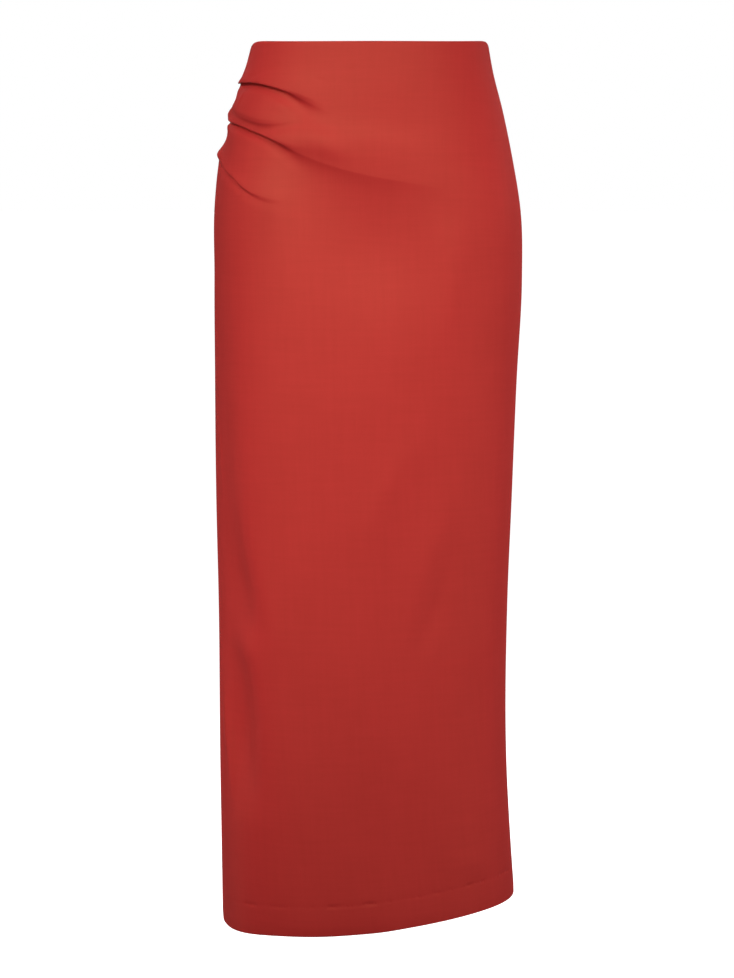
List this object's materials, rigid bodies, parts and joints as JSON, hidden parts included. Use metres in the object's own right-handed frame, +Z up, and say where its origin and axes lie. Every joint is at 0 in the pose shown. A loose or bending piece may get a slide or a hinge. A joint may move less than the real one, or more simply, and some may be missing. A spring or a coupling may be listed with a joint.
{
  "type": "maxi skirt",
  "caption": "Long narrow woven skirt, filled out as worn, pleated into its right side seam, with a plain hem and a concealed back zip.",
  "frame": {"origin": "centre of the waist opening, at the height of its top edge, where the wearer holds the skirt", "axes": "+Z up along the skirt towards the waist, -Y towards the front, +X towards the wearer's left side"},
  "size_m": [0.3304, 0.2465, 0.9521],
  "materials": {
    "cloth": "plain-woven linen blend, rust red, soft low sheen",
    "zip_tape": "woven polyester tape and coil, dyed to match",
    "zip_enamel": "enamelled to match the cloth, satin"
  },
  "bodies": {
    "skirt": {"front": "cloth", "back_left": "cloth", "back_right": "cloth", "zip_tape_left": "zip_tape", "zip_tape_right": "zip_tape", "zip_coil": "zip_tape", "zip_slider": "zip_enamel"},
    "pull": {"zip_pull": "zip_enamel"}
  },
  "joints": [
    {"name": "pull_hinge", "type": "hinge", "parent": "skirt", "child": "pull", "pos_m": [0.00033, 0.08668, -0.01208], "axis": [1, 0, 0], "range_deg": [0, 165]}
  ]
}
